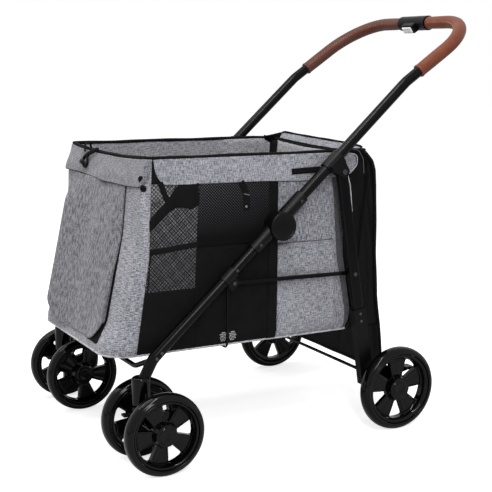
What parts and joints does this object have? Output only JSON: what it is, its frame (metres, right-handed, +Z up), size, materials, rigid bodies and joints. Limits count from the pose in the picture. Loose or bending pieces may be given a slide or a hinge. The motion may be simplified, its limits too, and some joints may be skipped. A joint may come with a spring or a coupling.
{
  "type": "pet stroller",
  "caption": "Folding pet stroller with an open fabric basket, U-shaped push handle, side fold knuckles, two rear wheels and two twin-wheel front casters.",
  "frame": {"origin": "middle of the stroller on the floor it stands on", "axes": "+Z up, -Y the way it drives, +X its left side"},
  "size_m": [0.698, 1.0195, 1.032],
  "materials": {
    "satin_black_metal": "satin black powder coat",
    "black_plastic": "fine moulded texture",
    "gloss_black": "glossy moulded",
    "tyre": "semi-gloss smooth tread",
    "button_white": "translucent white",
    "steel": "zinc plated",
    "brown_leather": "stitched brown leather",
    "grey_fabric": "grey heather linen weave",
    "black_fabric": "black woven fabric",
    "board": "stiff board"
  },
  "bodies": {
    "chassis": {"front_leg_left": "satin_black_metal", "front_leg_right": "satin_black_metal", "front_cross_bar": "satin_black_metal", "caster_housing_left": "black_plastic", "caster_housing_right": "black_plastic", "knuckle_lower_left": "black_plastic", "knuckle_lower_right": "black_plastic", "strut_brackets": "black_plastic", "chassis_rivets": "steel", "basket_tub": "grey_fabric", "basket_floor_board": "board", "floor_pad": "black_fabric", "basket_rim_wire": "black_fabric", "base_wire": "satin_black_metal", "front_valance": "grey_fabric", "side_valances": "grey_fabric"},
    "handle": {"handle_tube": "satin_black_metal", "handle_grips": "brown_leather", "release_housing": "black_plastic", "knuckle_upper_left": "black_plastic", "knuckle_upper_right": "black_plastic", "knuckle_covers": "black_plastic", "fold_pins": "steel", "top_bracket_left": "black_plastic", "top_bracket_right": "black_plastic", "handle_rivets": "steel"},
    "release_button": {"release_button": "button_white"},
    "rear_frame": {"rear_leg_left": "satin_black_metal", "rear_leg_right": "satin_black_metal", "rear_hub_left": "black_plastic", "rear_hub_right": "black_plastic", "rear_axles": "steel", "rear_crossbar": "satin_black_metal", "leg_rivets": "steel"},
    "front_door": {"front_door": "grey_fabric"},
    "rear_cover": {"rear_cover": "black_fabric", "cover_bow": "satin_black_metal"},
    "brake_left": {"brake_lever_left": "black_plastic"},
    "rear_wheel_left": {"rear_tyre_left": "tyre", "rear_rim_left": "gloss_black"},
    "strut_left": {"strut_left": "satin_black_metal"},
    "caster_left": {"caster_yoke_left": "black_plastic", "caster_axle_left": "steel"},
    "swivel_lock_left": {"swivel_lock_left": "black_plastic"},
    "front_wheel_outer_left": {"front_tyre_outer_left": "tyre", "front_rim_outer_left": "gloss_black"},
    "front_wheel_inner_left": {"front_tyre_inner_left": "tyre", "front_rim_inner_left": "gloss_black"},
    "brake_right": {"brake_lever_right": "black_plastic"},
    "rear_wheel_right": {"rear_tyre_right": "tyre", "rear_rim_right": "gloss_black"},
    "strut_right": {"strut_right": "satin_black_metal"},
    "caster_right": {"caster_yoke_right": "black_plastic", "caster_axle_right": "steel"},
    "swivel_lock_right": {"swivel_lock_right": "black_plastic"},
    "front_wheel_outer_right": {"front_tyre_outer_right": "tyre", "front_rim_outer_right": "gloss_black"},
    "front_wheel_inner_right": {"front_tyre_inner_right": "tyre", "front_rim_inner_right": "gloss_black"}
  },
  "joints": [
    {"name": "handle_fold", "type": "hinge", "parent": "chassis", "child": "handle", "pos_m": [0, -0.08747, 0.5298], "axis": [1, 0, 0], "range_deg": [-100, 0]},
    {"name": "rear_leg_swing", "type": "hinge", "parent": "handle", "child": "rear_frame", "pos_m": [0, 0.07723, 0.65031], "axis": [1, 0, 0], "range_deg": [-1, 70]},
    {"name": "strut_swing_left", "type": "hinge", "parent": "chassis", "child": "strut_left", "pos_m": [0.2535, -0.20578, 0.40269], "axis": [1, 0, 0], "range_deg": [-70, 1]},
    {"name": "strut_swing_right", "type": "hinge", "parent": "chassis", "child": "strut_right", "pos_m": [-0.2535, -0.20578, 0.40269], "axis": [1, 0, 0], "range_deg": [-70, 1]},
    {"name": "release_press", "type": "slide", "parent": "handle", "child": "release_button", "axis": [0, 0.829, 0.5592], "range_m": [0, 0.006], "stiffness_N_per_m": 300, "springref_m": -0.002},
    {"name": "front_door_roll", "type": "hinge", "parent": "chassis", "child": "front_door", "pos_m": [0, -0.42894, 0.627], "axis": [-1, 0, 0], "range_deg": [0, 90]},
    {"name": "rear_cover_swing", "type": "hinge", "parent": "chassis", "child": "rear_cover", "pos_m": [0, 0.18065, 0.708], "axis": [1, 0, 0], "range_deg": [0, 110]},
    {"name": "brake_press_left", "type": "hinge", "parent": "rear_frame", "child": "brake_left", "pos_m": [0.27, 0.26325, 0.131], "axis": [1, 0, 0], "range_deg": [-25, 0]},
    {"name": "rear_wheel_spin_left", "type": "hinge", "parent": "rear_frame", "child": "rear_wheel_left", "pos_m": [0.311, 0.23025, 0.105], "axis": [1, 0, 0], "continuous": true},
    {"name": "caster_swivel_left", "type": "hinge", "parent": "chassis", "child": "caster_left", "pos_m": [0.261, -0.44175, 0.147], "axis": [0, 0, 1], "continuous": true},
    {"name": "swivel_lock_tilt_left", "type": "hinge", "parent": "caster_left", "child": "swivel_lock_left", "pos_m": [0.261, -0.46875, 0.126], "axis": [1, 0, 0], "range_deg": [0, 30]},
    {"name": "front_wheel_spin_outer_left", "type": "hinge", "parent": "caster_left", "child": "front_wheel_outer_left", "pos_m": [0.329, -0.41475, 0.095], "axis": [1, 0, 0], "continuous": true},
    {"name": "front_wheel_spin_inner_left", "type": "hinge", "parent": "caster_left", "child": "front_wheel_inner_left", "pos_m": [0.193, -0.41475, 0.095], "axis": [1, 0, 0], "continuous": true},
    {"name": "brake_press_right", "type": "hinge", "parent": "rear_frame", "child": "brake_right", "pos_m": [-0.27, 0.26325, 0.131], "axis": [1, 0, 0], "range_deg": [-25, 0]},
    {"name": "rear_wheel_spin_right", "type": "hinge", "parent": "rear_frame", "child": "rear_wheel_right", "pos_m": [-0.311, 0.23025, 0.105], "axis": [1, 0, 0], "continuous": true},
    {"name": "caster_swivel_right", "type": "hinge", "parent": "chassis", "child": "caster_right", "pos_m": [-0.261, -0.44175, 0.147], "axis": [0, 0, 1], "continuous": true},
    {"name": "swivel_lock_tilt_right", "type": "hinge", "parent": "caster_right", "child": "swivel_lock_right", "pos_m": [-0.261, -0.46875, 0.126], "axis": [1, 0, 0], "range_deg": [0, 30]},
    {"name": "front_wheel_spin_outer_right", "type": "hinge", "parent": "caster_right", "child": "front_wheel_outer_right", "pos_m": [-0.329, -0.41475, 0.095], "axis": [1, 0, 0], "continuous": true},
    {"name": "front_wheel_spin_inner_right", "type": "hinge", "parent": "caster_right", "child": "front_wheel_inner_right", "pos_m": [-0.193, -0.41475, 0.095], "axis": [1, 0, 0], "continuous": true}
  ],
  "couplings": [
    {"joint": "rear_leg_swing", "follows": "handle_fold", "ratio": -0.66},
    {"joint": "strut_swing_left", "follows": "handle_fold", "ratio": 0.65},
    {"joint": "strut_swing_right", "follows": "handle_fold", "ratio": 0.65}
  ]
}
